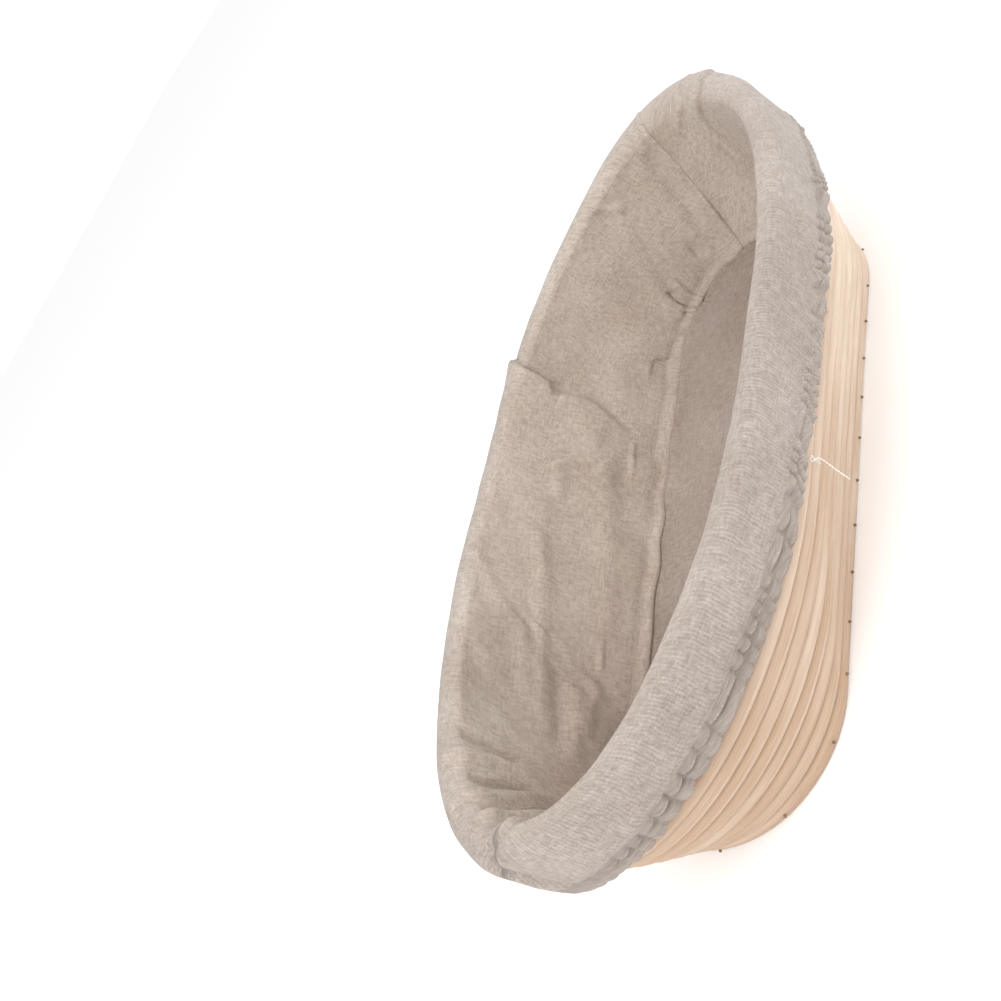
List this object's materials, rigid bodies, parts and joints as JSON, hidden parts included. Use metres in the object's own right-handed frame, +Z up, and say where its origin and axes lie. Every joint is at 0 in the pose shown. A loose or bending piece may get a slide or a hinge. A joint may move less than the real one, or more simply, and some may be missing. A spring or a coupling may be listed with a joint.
{
  "type": "banneton basket",
  "caption": "Oval bread-proofing basket coiled from rattan cane, with a lift-off linen liner that rolls over the rim and is gathered by an elastic hem.",
  "frame": {"origin": "on the ground under the middle of the basket, at the underside of the core cane", "axes": "+X along the length, +Y across it towards the side where the cane laps step up, +Z up out of the basket's mouth"},
  "size_m": [0.3516, 0.1606, 0.0859],
  "materials": {
    "rattan": "natural unvarnished rattan core cane, satin",
    "rattan_core": "natural unvarnished rattan core cane, satin",
    "brad_steel": "dark dull steel",
    "linen": "coarse plain-woven natural linen",
    "linen_floor": "coarse plain-woven natural linen",
    "elastic": "woven elastic tape"
  },
  "bodies": {
    "basket": {"core_cane": "rattan_core", "floor_cane": "rattan", "wall_cane_1": "rattan", "wall_cane_2": "rattan", "wall_cane_3": "rattan", "wall_cane_4": "rattan", "front_brad_1": "brad_steel", "front_brad_2": "brad_steel", "front_brad_3": "brad_steel", "front_brad_4": "brad_steel", "front_brad_5": "brad_steel", "front_brad_6": "brad_steel", "front_brad_7": "brad_steel", "front_brad_8": "brad_steel", "front_brad_9": "brad_steel", "front_brad_10": "brad_steel", "left_brad_1": "brad_steel", "left_brad_2": "brad_steel", "left_brad_3": "brad_steel", "left_brad_4": "brad_steel", "left_brad_5": "brad_steel", "right_brad_1": "brad_steel", "right_brad_2": "brad_steel", "right_brad_3": "brad_steel", "right_brad_4": "brad_steel", "right_brad_5": "brad_steel", "end_pin_1": "brad_steel", "end_pin_2": "brad_steel", "end_pin_3": "brad_steel", "start_pin_2": "brad_steel", "start_pin_3": "brad_steel", "start_pin_4": "brad_steel"},
    "liner": {"liner_front_panel": "linen", "liner_back_panel": "linen", "liner_floor_panel": "linen_floor", "hem_elastic": "elastic"}
  },
  "joints": [
    {"name": "liner_lift", "type": "slide", "parent": "basket", "child": "liner", "axis": [0, 0, 1], "range_m": [0, 0.1]}
  ]
}
